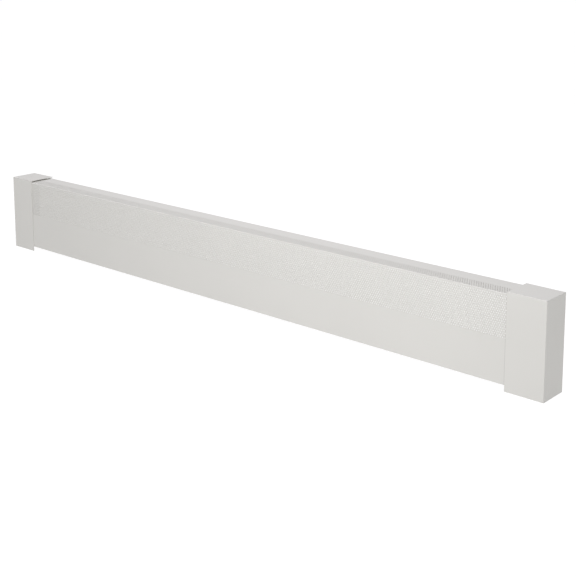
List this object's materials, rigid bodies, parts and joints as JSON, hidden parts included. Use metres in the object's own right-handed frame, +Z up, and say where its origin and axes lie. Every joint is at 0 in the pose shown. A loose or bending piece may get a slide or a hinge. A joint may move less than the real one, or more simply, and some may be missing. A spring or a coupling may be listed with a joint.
{
  "type": "baseboard heater",
  "caption": "Long, low hydronic baseboard heater: finned copper tube on floor hangers under a perforated lift-off steel cover with slip-on end caps.",
  "frame": {"origin": "centre of the heater's footprint, on the floor", "axes": "+X along the heater, +Y towards the wall, -Y the room side, +Z up"},
  "size_m": [2.007, 0.088, 0.24],
  "materials": {
    "panel_enamel": "satin off-white powder coat on sheet steel",
    "cap_enamel": "satin off-white powder coat on sheet steel",
    "galvanised_frame": "galvanised sheet steel with a fine spangle",
    "hanger_steel": "zinc-plated strip steel",
    "rivet_steel": "plain steel rivets",
    "glide_plastic": "natural nylon",
    "pad_rubber": "black rubber",
    "copper_tube": "dull drawn copper, slightly tarnished",
    "fin_aluminium": "bright mill aluminium",
    "bleed_brass": "turned brass",
    "clip_steel": "blued spring steel"
  },
  "bodies": {
    "wall_frame": {"back_plate": "galvanised_frame", "mounting_rail": "galvanised_frame", "left_end_plate": "galvanised_frame", "right_end_plate": "galvanised_frame", "hanger_1": "hanger_steel", "hanger_2": "hanger_steel", "hanger_3": "hanger_steel", "hanger_4": "hanger_steel", "hanger_rivets": "rivet_steel", "glide_1": "glide_plastic", "glide_2": "glide_plastic", "glide_3": "glide_plastic", "glide_4": "glide_plastic", "front_pads": "pad_rubber", "rail_pads": "pad_rubber"},
    "element": {"element_tube": "copper_tube", "fin_pack_1": "fin_aluminium", "fin_pack_2": "fin_aluminium", "fin_pack_3": "fin_aluminium", "supply_elbow": "copper_tube", "vent_elbow": "copper_tube", "supply_stub": "copper_tube", "return_stub": "copper_tube"},
    "bleed": {"bleed_screw": "bleed_brass"},
    "cover": {"cover_panel": "panel_enamel"},
    "left_cap": {"left_end_cap": "cap_enamel", "left_cap_clips": "clip_steel"},
    "right_cap": {"right_end_cap": "cap_enamel", "right_cap_clips": "clip_steel"}
  },
  "joints": [
    {"name": "element_expand", "type": "slide", "parent": "wall_frame", "child": "element", "axis": [1, 0, 0], "range_m": [-0.003, 0.003]},
    {"name": "bleed_turn", "type": "hinge", "parent": "element", "child": "bleed", "pos_m": [0.968, 0.004, 0.068], "axis": [1, 0, 0], "range_deg": [0, 180]},
    {"name": "cover_lift", "type": "slide", "parent": "wall_frame", "child": "cover", "axis": [0, 0, 1], "range_m": [0, 0.24]},
    {"name": "left_cap_slide", "type": "slide", "parent": "cover", "child": "left_cap", "axis": [-1, 0, 0], "range_m": [-0.01, 0.115]},
    {"name": "right_cap_slide", "type": "slide", "parent": "cover", "child": "right_cap", "axis": [1, 0, 0], "range_m": [-0.01, 0.115]}
  ]
}
